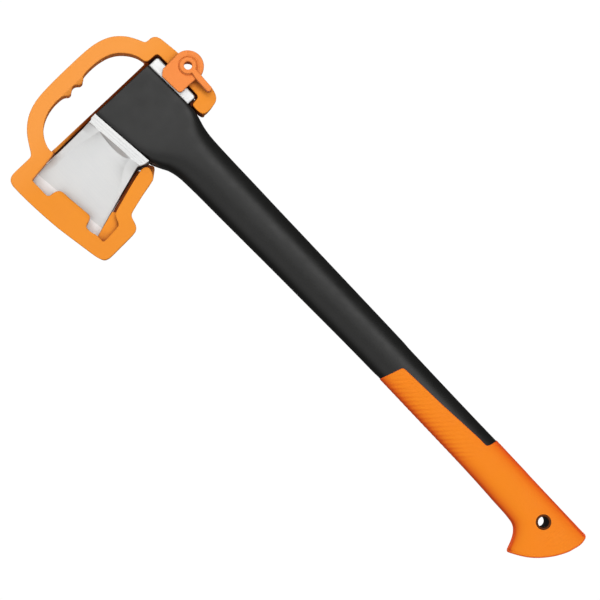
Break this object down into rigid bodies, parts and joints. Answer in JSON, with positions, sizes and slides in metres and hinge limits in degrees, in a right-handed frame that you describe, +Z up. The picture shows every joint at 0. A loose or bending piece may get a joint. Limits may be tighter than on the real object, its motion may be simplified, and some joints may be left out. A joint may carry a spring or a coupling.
{
  "type": "splitting axe in its blade sheath",
  "caption": "Long-handled splitting axe with a wedge head held in a moulded hollow handle, soft hooked grip, and a clip-on blade sheath with carry loop and turning latch.",
  "frame": {"origin": "centre of the hanging hole in the knob, in the middle of the thickness", "axes": "+Z up the handle to the head, -X towards the cutting edge, +X towards the poll, Y is the thickness; -Y is the side that carries the latch"},
  "size_m": [0.2088, 0.046, 0.6511],
  "materials": {
    "steel": "fine brushed, ground bevel",
    "black_composite": "matte moulded, faintly grained",
    "black_moulding": "matte moulded",
    "orange_grip": "soft, finely ribbed",
    "orange_moulding": "satin moulded",
    "orange_latch": "satin moulded"
  },
  "bodies": {
    "axe": {"axe_head": "steel", "handle_body": "black_composite", "end_plug": "black_moulding", "hanging_liner": "black_moulding", "grip_sleeve": "orange_grip"},
    "sheath": {"sheath_frame": "orange_moulding"},
    "latch": {"sheath_latch": "orange_latch"}
  },
  "joints": [
    {"name": "sheath_swing", "type": "hinge", "parent": "axe", "child": "sheath", "pos_m": [-0.1207, 0, 0.5193], "axis": [0, 0, -1], "range_deg": [0, 45]},
    {"name": "latch_turn", "type": "hinge", "parent": "sheath", "child": "latch", "pos_m": [0.0541, 0, 0.5347], "axis": [0, -1, 0], "range_deg": [0, 90]}
  ]
}
